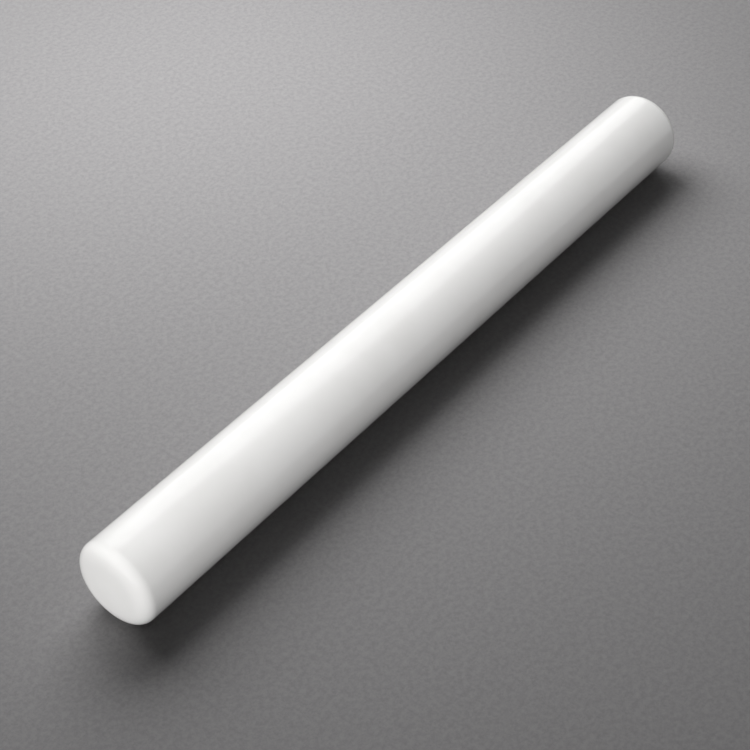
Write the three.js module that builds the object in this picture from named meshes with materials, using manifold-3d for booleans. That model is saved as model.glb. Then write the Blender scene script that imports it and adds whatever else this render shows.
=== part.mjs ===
// A straight plastic rolling pin without handles: an extruded tube with a moulded cap pressed into each end.
// Millimetres, +Z up. The pin lies along X on the plane Z = 0, with the origin under its middle.

import * as THREE from "three";
import { mergeVertices } from "three/addons/utils/BufferGeometryUtils.js";
import Module from "manifold-3d";

// Whole pin
const PIN_LENGTH = 500;
const PIN_DIAMETER = 50;
const FACETS = 48; // flat sides that stand for the round, a multiple of 4

// Barrel tube
const BARREL_WALL = 5;
const MOUTH_CHAMFER = 1; // lead-in for the caps at each end of the bore

// Outside of an end cap
const CAP_BAND = 1; // straight side between the seam and the rounding
const END_ROUNDING = 7; // radius between the side and the flat end
const ROUNDING_STEPS = 8;

// Spigot of an end cap, which sits in the bore
const SPIGOT_LENGTH = 26;
const SPIGOT_WALL = 3;
const SPIGOT_CLEARANCE = 0.5; // between the spigot and the bore, on the radius
const TIP_CHAMFER = 1.5;
const BEAD_COUNT = 3; // grip beads, spread evenly along the spigot
const BEAD_WIDTH = 3;
const BEAD_CLEARANCE = 0.1; // between the crest of a bead and the bore, on the radius

// Inside of an end cap
const END_WALL = 4;
const CUP_FILLET = 2; // radius where the cup's side meets its floor
const FILLET_STEPS = 3;
const WEB_THICKNESS = 2.4;
const WEB_SETBACK = 5; // from the tip of the spigot to the edge of the webs

// Sizes that follow from the ones above
const PIN_RADIUS = PIN_DIAMETER / 2;
const BORE_RADIUS = PIN_RADIUS - BARREL_WALL;
const CAP_HEIGHT = CAP_BAND + END_ROUNDING; // from the seam to the flat end
const BARREL_LENGTH = PIN_LENGTH - 2 * CAP_HEIGHT;
const SPIGOT_RADIUS = BORE_RADIUS - SPIGOT_CLEARANCE;
const BEAD_RADIUS = BORE_RADIUS - BEAD_CLEARANCE;
const CUP_RADIUS = SPIGOT_RADIUS - SPIGOT_WALL;
const CUP_FLOOR = CAP_HEIGHT - END_WALL;
const HALF_FACET = Math.PI / FACETS;

const WELD_DISTANCE = 1e-4;

const wasm = await Module();
wasm.setup();

// Turns a closed geometry into a solid that can be joined to another.
function toSolid(geometry) {
  const bare = geometry.clone();
  bare.deleteAttribute("normal");
  bare.deleteAttribute("uv");
  const welded = mergeVertices(bare, WELD_DISTANCE);
  const index = welded.getIndex().array;
  const triVerts = [];
  for (let i = 0; i < index.length; i += 3) {
    const corners = [index[i], index[i + 1], index[i + 2]];
    if (new Set(corners).size === 3) triVerts.push(...corners);
  }
  const vertProperties = new Float32Array(welded.getAttribute("position").array);
  return new wasm.Manifold(
    new wasm.Mesh({ numProp: 3, vertProperties, triVerts: new Uint32Array(triVerts) }),
  );
}

function toGeometry(solid) {
  const { vertProperties, triVerts } = solid.getMesh();
  const geometry = new THREE.BufferGeometry();
  geometry.setAttribute("position", new THREE.BufferAttribute(vertProperties, 3));
  geometry.setIndex(new THREE.BufferAttribute(triVerts, 1));
  geometry.computeVertexNormals();
  return geometry;
}

// Revolves a profile of [radius, height] points about Y. The middle of every facet lies at the stated
// radius, and one facet faces straight down once the pin is laid along X.
function revolve(profile) {
  const corner = 1 / Math.cos(HALF_FACET);
  const points = profile.map(([radius, height]) => new THREE.Vector2(radius * corner, height));
  return new THREE.LatheGeometry(points, FACETS, HALF_FACET);
}

// Points of a quarter circle about [radius, height], turning from one angle to another.
function quarter(centre, size, from, to, steps) {
  const points = [];
  for (let i = 0; i <= steps; i++) {
    const angle = from + ((to - from) * i) / steps;
    points.push([centre[0] + size * Math.cos(angle), centre[1] + size * Math.sin(angle)]);
  }
  return points;
}

// The tube: a plain bore with a lead-in chamfer at both ends, where the caps' shoulders seat.
function barrelGeometry() {
  const end = BARREL_LENGTH / 2;
  const chamfer = Math.min(MOUTH_CHAMFER, BARREL_WALL / 2);
  return revolve([
    [BORE_RADIUS + chamfer, -end],
    [PIN_RADIUS, -end],
    [PIN_RADIUS, end],
    [BORE_RADIUS + chamfer, end],
    [BORE_RADIUS, end - chamfer],
    [BORE_RADIUS, -end + chamfer],
    [BORE_RADIUS + chamfer, -end],
  ]);
}

// Grip beads from the spigot's tip to its shoulder, each with a long lead-in and a steep back.
function beadProfile(spigotTip) {
  const pitch = spigotTip / (BEAD_COUNT + 1);
  const points = [];
  for (let i = BEAD_COUNT; i > 0; i--) {
    const middle = i * pitch;
    points.push([SPIGOT_RADIUS, middle - BEAD_WIDTH / 2]);
    points.push([BEAD_RADIUS, middle + BEAD_WIDTH / 4]);
    points.push([SPIGOT_RADIUS, middle + BEAD_WIDTH / 2]);
  }
  return points;
}

// The cap with its shoulder at height 0, its flat end upwards and its spigot downwards.
function capGeometry() {
  const tip = -SPIGOT_LENGTH;
  const chamfer = Math.min(TIP_CHAMFER, SPIGOT_WALL / 2);
  const rim = PIN_RADIUS - END_ROUNDING;
  const cup = revolve([
    [0, CUP_FLOOR],
    ...quarter([CUP_RADIUS - CUP_FILLET, CUP_FLOOR - CUP_FILLET], CUP_FILLET, Math.PI / 2, 0, FILLET_STEPS),
    [CUP_RADIUS, tip],
    [SPIGOT_RADIUS - chamfer, tip],
    [SPIGOT_RADIUS, tip + chamfer],
    ...beadProfile(tip + chamfer),
    [SPIGOT_RADIUS, 0],
    [PIN_RADIUS, 0],
    ...quarter([rim, CAP_BAND], END_ROUNDING, 0, Math.PI / 2, ROUNDING_STEPS),
    [0, CAP_HEIGHT],
  ]);

  // Two crossed webs tie the cup's wall to its floor, rooted half-way into both.
  const webTop = CUP_FLOOR + END_WALL / 2;
  const webBottom = tip + WEB_SETBACK;
  const webLength = 2 * CUP_RADIUS + SPIGOT_WALL;
  const web = new THREE.BoxGeometry(webLength, webTop - webBottom, WEB_THICKNESS);
  web.translate(0, (webTop + webBottom) / 2, 0);
  const crossWeb = web.clone().rotateY(Math.PI / 2);
  return toGeometry(toSolid(cup).add(toSolid(web)).add(toSolid(crossWeb)));
}

function whitePlastic() {
  return new THREE.MeshStandardMaterial({ color: 0xeceae6, roughness: 0.3, metalness: 0 });
}

function piece(name, geometry) {
  const mesh = new THREE.Mesh(geometry, whitePlastic());
  mesh.name = name;
  return mesh;
}

const barrel = piece("barrel_tube", barrelGeometry());

const rightCap = piece("end_cap_right", capGeometry());
rightCap.position.y = BARREL_LENGTH / 2;

const leftCap = piece("end_cap_left", capGeometry());
leftCap.position.y = -BARREL_LENGTH / 2;
leftCap.rotation.z = Math.PI;

const rollingPin = new THREE.Group();
rollingPin.add(barrel, rightCap, leftCap);
rollingPin.rotation.z = -Math.PI / 2;
rollingPin.position.z = PIN_RADIUS;

export default rollingPin;
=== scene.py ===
import math

import bpy
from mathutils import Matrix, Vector


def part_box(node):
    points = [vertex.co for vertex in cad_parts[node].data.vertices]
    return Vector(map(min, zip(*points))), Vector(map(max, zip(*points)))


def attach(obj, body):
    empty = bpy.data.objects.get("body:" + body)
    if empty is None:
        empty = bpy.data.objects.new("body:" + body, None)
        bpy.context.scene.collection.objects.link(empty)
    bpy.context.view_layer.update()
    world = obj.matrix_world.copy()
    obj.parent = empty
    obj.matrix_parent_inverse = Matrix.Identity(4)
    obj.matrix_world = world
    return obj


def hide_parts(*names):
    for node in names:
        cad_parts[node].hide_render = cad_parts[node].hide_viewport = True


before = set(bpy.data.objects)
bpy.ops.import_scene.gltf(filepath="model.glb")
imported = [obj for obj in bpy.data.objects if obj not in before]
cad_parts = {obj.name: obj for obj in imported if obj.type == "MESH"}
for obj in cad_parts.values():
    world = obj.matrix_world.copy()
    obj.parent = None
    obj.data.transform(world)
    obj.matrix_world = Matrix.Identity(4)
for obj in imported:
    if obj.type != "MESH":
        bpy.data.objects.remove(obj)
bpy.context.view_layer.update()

# Barrel: the length of tube that rolls the dough. It is extruded from milky white polyethylene, sawn to
# length and faced square at both ends, with a chamfer inside each mouth so that the caps start straight.
barrel_low, barrel_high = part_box("barrel_tube")
AXIS_Z = (barrel_low.z + barrel_high.z) / 2
PIN_RADIUS = (barrel_high.z - barrel_low.z) / 2
BARREL_WALL = 0.005
BORE_RADIUS = PIN_RADIUS - BARREL_WALL
MOUTH_CHAMFER = 0.001
SEAM_BREAK = 0.00002
BARREL_RINGS = 48
ROUND_STEPS = 192
SHARP_ANGLE = math.radians(30)

MILK_WHITE = (0.865, 0.860, 0.848, 1)
MILK_SHADE = (0.835, 0.829, 0.815, 1)
PLASTIC_IOR = 1.52
NOISE_MIDDLE = 0.5
RICH_DETAIL = 3
PLAIN_DETAIL = 2
CLOUDS_PER_METRE = 30
CLOUD_LIMITS = (0.35, 0.70)
CLOUD_GLOSS = 0.05
EXTRUSION_LINES = (4, 420, 420)
EXTRUSION_DEPTH = 0.000006
LINE_GLOSS = 0.06
PEEL_PER_METRE = 700
TUBE_PEEL = 0.0000015
WEAR_SQUEEZE = (1, 1.7, 1.3)
WEAR_LIMITS = (0.45, 0.70)
SCUFF_RINGS = (2600, 14, 14)
SCUFF_LIMITS = (0.66, 0.74)
SCUFF_DEPTH = 0.0000012
SCUFF_GLOSS = 0.08
TUBE_ROUGHNESS = 0.13


class Socket:
    """An output of a material's nodes. Arithmetic on it adds Math nodes to the same material."""

    MIX_FACTOR, MIX_FIRST, MIX_SECOND, MIX_COLOUR = 0, 6, 7, 2

    def __init__(self, tree, output=None):
        self.tree = tree
        self.output = output

    def feed(self, socket, value):
        if isinstance(value, Socket):
            self.tree.links.new(value.output, socket)
        else:
            socket.default_value = value

    def node(self, kind, settings=None, inputs=None, output=0):
        made = self.tree.nodes.new(kind)
        for name, value in (settings or {}).items():
            setattr(made, name, value)
        for name, value in (inputs or {}).items():
            self.feed(made.inputs[name], value)
        return Socket(self.tree, made.outputs[output])

    def maths(self, operation, first, second):
        return self.node("ShaderNodeMath", {"operation": operation}, {0: first, 1: second})

    def __add__(self, other):
        return self.maths("ADD", self, other)

    def __radd__(self, other):
        return self.maths("ADD", other, self)

    def __sub__(self, other):
        return self.maths("SUBTRACT", self, other)

    def __rsub__(self, other):
        return self.maths("SUBTRACT", other, self)

    def __mul__(self, other):
        return self.maths("MULTIPLY", self, other)

    def __rmul__(self, other):
        return self.maths("MULTIPLY", other, self)

    def noise(self, scale, detail, squeeze=(1, 1, 1), fine=0.5):
        """Noise from 0 to 1, squeezed by a factor along each axis. Fine is the share of its finer part."""
        squeezed = self.node("ShaderNodeVectorMath", {"operation": "MULTIPLY"}, {0: self, 1: squeeze})
        return self.node("ShaderNodeTexNoise",
                         inputs={"Vector": squeezed, "Scale": scale, "Detail": detail, "Roughness": fine})

    def above(self, low, high):
        """Mask that rises from 0 to 1 as this value goes from low to high."""
        return self.node("ShaderNodeMapRange", {"interpolation_type": "SMOOTHSTEP"},
                         {"Value": self, "From Min": low, "From Max": high})

    def blend(self, first, second):
        """Colour that goes from the first to the second as this mask goes from 0 to 1."""
        return self.node("ShaderNodeMix", {"data_type": "RGBA"},
                         {self.MIX_FACTOR: self, self.MIX_FIRST: first, self.MIX_SECOND: second},
                         output=self.MIX_COLOUR)


def finish_mesh(mesh):
    mesh.validate()
    mesh.shade_smooth()
    mesh.set_sharp_from_angle(angle=SHARP_ANGLE)


def revolve(name, profile, closed):
    """Turns a profile of (x, radius) points about the pin's axis. A point at radius 0 becomes one vertex."""
    points = []
    rings = []
    for x, radius in profile:
        if radius == 0:
            rings.append([len(points)] * ROUND_STEPS)
            points.append((x, 0, AXIS_Z))
            continue
        rings.append(list(range(len(points), len(points) + ROUND_STEPS)))
        for i in range(ROUND_STEPS):
            turn = 2 * math.pi * i / ROUND_STEPS
            points.append((x, radius * math.sin(turn), AXIS_Z - radius * math.cos(turn)))
    pairs = list(zip(rings, rings[1:]))
    if closed:
        pairs.append((rings[-1], rings[0]))
    faces = []
    for near, far in pairs:
        for i in range(ROUND_STEPS):
            j = (i + 1) % ROUND_STEPS
            corners = (near[i], near[j], far[j], far[i])
            faces.append(tuple(dict.fromkeys(corners)))
    mesh = bpy.data.meshes.new(name)
    mesh.from_pydata(points, [], faces)
    finish_mesh(mesh)
    piece = bpy.data.objects.new(name, mesh)
    bpy.context.scene.collection.objects.link(piece)
    return piece


def milky_plastic(name, roughness, lines, line_depth, peel_depth):
    """Milky polyethylene, a little cloudy, with lines drawn in its skin, fine peel and faint scuffs."""
    material = bpy.data.materials.new(name)
    material.use_nodes = True
    shader = material.node_tree.nodes["Principled BSDF"]
    place = Socket(material.node_tree).node("ShaderNodeTexCoord", output="Object")
    clouds = place.noise(CLOUDS_PER_METRE, RICH_DETAIL)
    drawn = place.noise(1, RICH_DETAIL, lines)
    peel = place.noise(PEEL_PER_METRE, PLAIN_DETAIL)
    worn = place.noise(CLOUDS_PER_METRE, PLAIN_DETAIL, WEAR_SQUEEZE).above(*WEAR_LIMITS)
    scuffs = place.noise(1, PLAIN_DETAIL, SCUFF_RINGS).above(*SCUFF_LIMITS) * worn

    colour = clouds.above(*CLOUD_LIMITS).blend(MILK_WHITE, MILK_SHADE)
    gloss = (roughness + (clouds - NOISE_MIDDLE) * CLOUD_GLOSS + (drawn - NOISE_MIDDLE) * LINE_GLOSS
             + scuffs * SCUFF_GLOSS)
    height = drawn * line_depth + peel * peel_depth - scuffs * SCUFF_DEPTH
    skin = place.node("ShaderNodeBump", inputs={"Strength": 1, "Distance": 1, "Height": height})
    place.feed(shader.inputs["Base Color"], colour)
    place.feed(shader.inputs["Roughness"], gloss)
    place.feed(shader.inputs["Normal"], skin)
    shader.inputs["IOR"].default_value = PLASTIC_IOR
    return material


def barrel_profile():
    left = barrel_low.x
    right = barrel_high.x
    outside = []
    for i in range(BARREL_RINGS + 1):
        share = i / BARREL_RINGS
        x = left + SEAM_BREAK + (right - left - 2 * SEAM_BREAK) * share
        outside.append((x, PIN_RADIUS))
    return [
        (left, BORE_RADIUS + MOUTH_CHAMFER),
        (left, PIN_RADIUS - SEAM_BREAK),
        *outside,
        (right, PIN_RADIUS - SEAM_BREAK),
        (right, BORE_RADIUS + MOUTH_CHAMFER),
        (right - MOUTH_CHAMFER, BORE_RADIUS),
        (left + MOUTH_CHAMFER, BORE_RADIUS),
    ]


barrel = revolve("barrel", barrel_profile(), True)
tube_skin = milky_plastic("milky_tube", TUBE_ROUGHNESS, EXTRUSION_LINES, EXTRUSION_DEPTH, TUBE_PEEL)
barrel.data.materials.append(tube_skin)
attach(barrel, "root")
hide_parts("barrel_tube")

# End caps: plugs moulded from the same plastic. Each has a slightly domed, round-edged end that meets the
# tube flush, and a spigot pressed into the bore, held by three grip beads and kept round by two crossed
# webs inside.
END_CROWN = 0.0012
CROWN_STEPS = 10
ROUNDING_REACH = 0.012
ROUNDING_STEPS = 40
ROUNDING_EASE = 3
END_WALL = 0.004
SPIGOT_WALL = 0.003
SPIGOT_CLEARANCE = 0.0005
SPIGOT_RADIUS = BORE_RADIUS - SPIGOT_CLEARANCE
BEAD_CLEARANCE = 0.0001
BEAD_RADIUS = BORE_RADIUS - BEAD_CLEARANCE
BEAD_COUNT = 3
BEAD_WIDTH = 0.003
BEAD_STEPS = 8
BEAD_CREST = 0.75
TIP_CHAMFER = 0.0015
CUP_RADIUS = SPIGOT_RADIUS - SPIGOT_WALL
CUP_FILLET = 0.002
FILLET_STEPS = 8
WEB_THICKNESS = 0.0024
WEB_SETBACK = 0.005
WEB_EDGE_STEPS = 8
MOULD_MARKS = (160, 160, 160)
MARK_DEPTH = 0.000004
CAP_PEEL = 0.000002
CAP_ROUGHNESS = 0.14


def bead_rings(spigot):
    """Points of the grip beads from the spigot's free end to the shoulder, as (depth, radius)."""
    pitch = (spigot - TIP_CHAMFER) / (BEAD_COUNT + 1)
    rings = []
    for i in range(BEAD_COUNT, 0, -1):
        for k in range(BEAD_STEPS + 1):
            share = k / BEAD_STEPS
            climb = share / BEAD_CREST if share < BEAD_CREST else (1 - share) / (1 - BEAD_CREST)
            rise = climb * climb * (3 - 2 * climb)
            depth = i * pitch + BEAD_WIDTH * (0.5 - share)
            rings.append((depth, SPIGOT_RADIUS + (BEAD_RADIUS - SPIGOT_RADIUS) * rise))
    return rings


def cap_profile(seam, end, tip):
    """Profile of a cap, from the middle of its domed end over its gentle edge to the middle of its cup."""
    outward = math.copysign(1, end - seam)
    rim = PIN_RADIUS - ROUNDING_REACH
    rounding_depth = abs(end - seam) - END_CROWN - SEAM_BREAK
    floor = end - outward * END_WALL
    face = [(rim * i / CROWN_STEPS, 0) for i in range(CROWN_STEPS)]
    for i in range(ROUNDING_STEPS + 1):
        turn = math.pi / 2 * i / ROUNDING_STEPS
        radius = rim + ROUNDING_REACH * math.sin(turn) ** (2 / ROUNDING_EASE)
        face.append((radius, rounding_depth * (1 - math.cos(turn))))
    profile = []
    for radius, drop in face:
        profile.append((end - outward * (drop + END_CROWN * (radius / PIN_RADIUS) ** 2), radius))
    profile += [
        (seam, PIN_RADIUS - SEAM_BREAK),
        (seam, SPIGOT_RADIUS),
    ]
    for depth, radius in reversed(bead_rings(abs(tip - seam))):
        profile.append((seam - outward * depth, radius))
    profile += [
        (tip + outward * TIP_CHAMFER, SPIGOT_RADIUS),
        (tip, SPIGOT_RADIUS - TIP_CHAMFER),
        (tip, CUP_RADIUS),
    ]
    for i in range(FILLET_STEPS + 1):
        turn = math.pi / 2 * i / FILLET_STEPS
        x = floor - outward * CUP_FILLET * (1 - math.sin(turn))
        profile.append((x, CUP_RADIUS - CUP_FILLET * (1 - math.cos(turn))))
    profile.append((floor, 0))
    return profile if outward < 0 else profile[::-1]


def web(name, root, edge, along):
    """A plate across the cup, rooted in its floor and wall, with a full round along its free edge."""
    outward = math.copysign(1, root - edge)
    half = WEB_THICKNESS / 2
    outline = [(root, half)]
    for i in range(WEB_EDGE_STEPS + 1):
        turn = math.pi * i / WEB_EDGE_STEPS
        outline.append((edge + outward * half * (1 - math.sin(turn)), half * math.cos(turn)))
    outline.append((root, -half))
    reach = CUP_RADIUS + SPIGOT_WALL / 2
    points = []
    for side in (-reach, reach):
        for x, across in outline:
            points.append((x, side, AXIS_Z + across) if along == "y" else (x, across, AXIS_Z + side))
    count = len(outline)
    faces = [tuple(range(count)), tuple(range(2 * count - 1, count - 1, -1))]
    for i in range(count):
        j = (i + 1) % count
        faces.append((i, count + i, count + j, j))
    if (outward > 0) == (along == "y"):
        faces = [face[::-1] for face in faces]
    mesh = bpy.data.meshes.new(name)
    mesh.from_pydata(points, [], faces)
    plate = bpy.data.objects.new(name, mesh)
    bpy.context.scene.collection.objects.link(plate)
    return plate


def join_webs(cap, plates):
    """Makes the cap and its webs one clean solid."""
    for plate in plates:
        union = cap.modifiers.new(plate.name, "BOOLEAN")
        union.operation = "UNION"
        union.solver = "EXACT"
        union.object = plate
    joined = bpy.data.meshes.new_from_object(cap.evaluated_get(bpy.context.evaluated_depsgraph_get()))
    cap.modifiers.clear()
    cap.data = joined
    finish_mesh(joined)
    for plate in plates:
        bpy.data.objects.remove(plate)


cap_skin = milky_plastic("milky_cap", CAP_ROUGHNESS, MOULD_MARKS, MARK_DEPTH, CAP_PEEL)
caps = []
for side in ("left", "right"):
    node = f"end_cap_{side}"
    cap_low, cap_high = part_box(node)
    if side == "left":
        seam, end, tip = barrel_low.x, cap_low.x, cap_high.x
    else:
        seam, end, tip = barrel_high.x, cap_high.x, cap_low.x
    outward = math.copysign(1, end - seam)
    cap = revolve(f"cap_{side}", cap_profile(seam, end, tip), False)
    root = end - outward * END_WALL / 2
    edge = tip + outward * WEB_SETBACK
    join_webs(cap, [web(f"web_{side}_{along}", root, edge, along) for along in ("y", "z")])
    cap.data.materials.clear()
    cap.data.materials.append(cap_skin)
    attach(cap, "root")
    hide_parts(node)
    caps.append(cap)

# Floor: a plain sheet of pale grey paper that the pin lies on, with a fine felt-like grain. It is large
# enough to fill every view, and beyond the reach of the lamps it runs into the tone of the backdrop.
FLOOR_HALF = 4.0
PAPER_LIGHT = (0.358, 0.350, 0.354, 1)
PAPER_DARK = (0.286, 0.280, 0.284, 1)
PAPER_ROUGHNESS = 0.9
PAPER_GRAIN = 320
GRAIN_DETAIL = 4
GRAIN_FINE = 0.8
GRAIN_LIMITS = (0.3, 0.7)
LAMP_REACH = 0.4
BACKDROP_START = 1.3
BACKDROP_LEVEL = 0.8
BACKDROP_TINT = (1, 1, 1, 1)


def seen_rays(tree):
    """1 for rays that see a surface straight, mirrored or through another, 0 for rays that light others."""
    path = Socket(tree)
    straight = path.node("ShaderNodeLightPath", output="Is Camera Ray")
    mirrored = path.node("ShaderNodeLightPath", output="Is Glossy Ray")
    through = path.node("ShaderNodeLightPath", output="Is Transmission Ray")
    return straight + mirrored + through


floor_corners = [
    (-FLOOR_HALF, -FLOOR_HALF, 0),
    (FLOOR_HALF, -FLOOR_HALF, 0),
    (FLOOR_HALF, FLOOR_HALF, 0),
    (-FLOOR_HALF, FLOOR_HALF, 0),
]
floor_mesh = bpy.data.meshes.new("floor")
floor_mesh.from_pydata(floor_corners, [], [(0, 1, 2, 3)])
floor_sheet = bpy.data.objects.new("floor", floor_mesh)
bpy.context.scene.collection.objects.link(floor_sheet)
paper = bpy.data.materials.new("pale_paper")
paper.use_nodes = True
paper_shader = paper.node_tree.nodes["Principled BSDF"]
paper_place = Socket(paper.node_tree).node("ShaderNodeTexCoord", output="Object")
grain = paper_place.noise(PAPER_GRAIN, GRAIN_DETAIL, fine=GRAIN_FINE)
paper_colour = grain.above(*GRAIN_LIMITS).blend(PAPER_DARK, PAPER_LIGHT)
paper_place.feed(paper_shader.inputs["Base Color"], paper_colour)
paper_shader.inputs["Roughness"].default_value = PAPER_ROUGHNESS
far = paper_place.node("ShaderNodeVectorMath", {"operation": "LENGTH"}, {0: paper_place}, output="Value")
far_tone = paper_place.node("ShaderNodeEmission", inputs={"Color": BACKDROP_TINT, "Strength": BACKDROP_LEVEL})
far_share = far.above(LAMP_REACH, BACKDROP_START) * seen_rays(paper.node_tree)
near_paper = Socket(paper.node_tree, paper_shader.outputs["BSDF"])
paper_skin = paper_place.node("ShaderNodeMixShader", inputs={0: far_share, 1: near_paper, 2: far_tone})
paper_place.feed(paper.node_tree.nodes["Material Output"].inputs["Surface"], paper_skin)
floor_mesh.materials.append(paper)

# Camera: stands where the photograph was taken from, about 43 degrees above the worktop and off the near
# end of the pin, with a long lens that keeps the pin's sides almost parallel.
SENSOR_WIDTH = 36
LENS = 87.4
CAMERA_PLACE = (-0.6303, -0.4621, 0.7114)
CAMERA_AIM = Vector((0.5787, 0.4505, -0.6798))
camera_data = bpy.data.cameras.new("camera")
camera_data.sensor_width = SENSOR_WIDTH
camera_data.lens = LENS
camera = bpy.data.objects.new("camera", camera_data)
camera.location = CAMERA_PLACE
camera.rotation_euler = CAMERA_AIM.to_track_quat("-Z", "Y").to_euler()
bpy.context.scene.collection.objects.link(camera)
bpy.context.scene.camera = camera

# Studio light: a large softbox on the far side of the pin, a brighter one beside it, and two cards that
# only the gloss shows. Four fills reach the pin alone, in place of the light that wanders through milky
# plastic, and one box reaches the floor alone, so that the shadow under the pin stays deep.
LAMP_DISTANCE = 0.9
CARD_DISTANCE = 0.93
FLOOR_BOX_DISTANCE = 0.55
pin_pieces = bpy.data.collections.new("pin_pieces")
for piece in (barrel, *caps):
    pin_pieces.objects.link(piece)
floor_only = bpy.data.collections.new("floor_only")
floor_only.objects.link(floor_sheet)


def softbox(name, azimuth, elevation, width, height, brightness, distance=LAMP_DISTANCE):
    """A softbox aimed at the origin, its azimuth turned from +X towards +Y. A brightness of 1 looks white."""
    turn = math.radians(azimuth)
    lift = math.radians(elevation)
    aim = Vector((math.cos(lift) * math.cos(turn), math.cos(lift) * math.sin(turn), math.sin(lift)))
    lamp = bpy.data.lights.new(name, "AREA")
    lamp.shape = "RECTANGLE"
    lamp.size = width
    lamp.size_y = height
    lamp.energy = brightness * math.pi * width * height
    holder = bpy.data.objects.new(name, lamp)
    holder.location = aim * distance
    holder.rotation_euler = (-aim).to_track_quat("-Z", "Y").to_euler()
    bpy.context.scene.collection.objects.link(holder)
    return holder


softbox("main_box", azimuth=46.5, elevation=40.4, width=0.92, height=0.82, brightness=1.19)
side_box = softbox("side_box", azimuth=92, elevation=47, width=0.5, height=0.8, brightness=2.48)
gloss_near = softbox("gloss_near", azimuth=64.2, elevation=35.6, width=0.46, height=0.79, brightness=0.45,
                     distance=CARD_DISTANCE)
gloss_far = softbox("gloss_far", azimuth=28.8, elevation=39, width=0.46, height=0.82, brightness=0.32,
                    distance=CARD_DISTANCE)
fill_front = softbox("fill_front", azimuth=250, elevation=60, width=1.0, height=1.0, brightness=0.70)
fill_end = softbox("fill_end", azimuth=189, elevation=12, width=1.1, height=0.3, brightness=4.9)
fill_top = softbox("fill_top", azimuth=0, elevation=90, width=1.0, height=1.0, brightness=1.10)
fill_back = softbox("fill_back", azimuth=92, elevation=8, width=1.2, height=0.25, brightness=1.0)
floor_box = softbox("floor_box", azimuth=60, elevation=52, width=0.4, height=0.4, brightness=3.8,
                    distance=FLOOR_BOX_DISTANCE)
fills = (fill_front, fill_end, fill_top, fill_back)
cards = (gloss_near, gloss_far)
for lamp in (*cards, *fills):
    lamp.light_linking.receiver_collection = pin_pieces
floor_box.light_linking.receiver_collection = floor_only
for lamp in (side_box, *fills):
    lamp.visible_glossy = False
for lamp in cards:
    lamp.visible_diffuse = False

world = bpy.data.worlds.new("studio")
world.use_nodes = True
seen = seen_rays(world.node_tree)
backdrop = world.node_tree.nodes["Background"]
backdrop.inputs["Color"].default_value = BACKDROP_TINT
seen.feed(backdrop.inputs["Strength"], seen * BACKDROP_LEVEL)
bpy.context.scene.world = world
bpy.context.scene.view_settings.view_transform = "Standard"
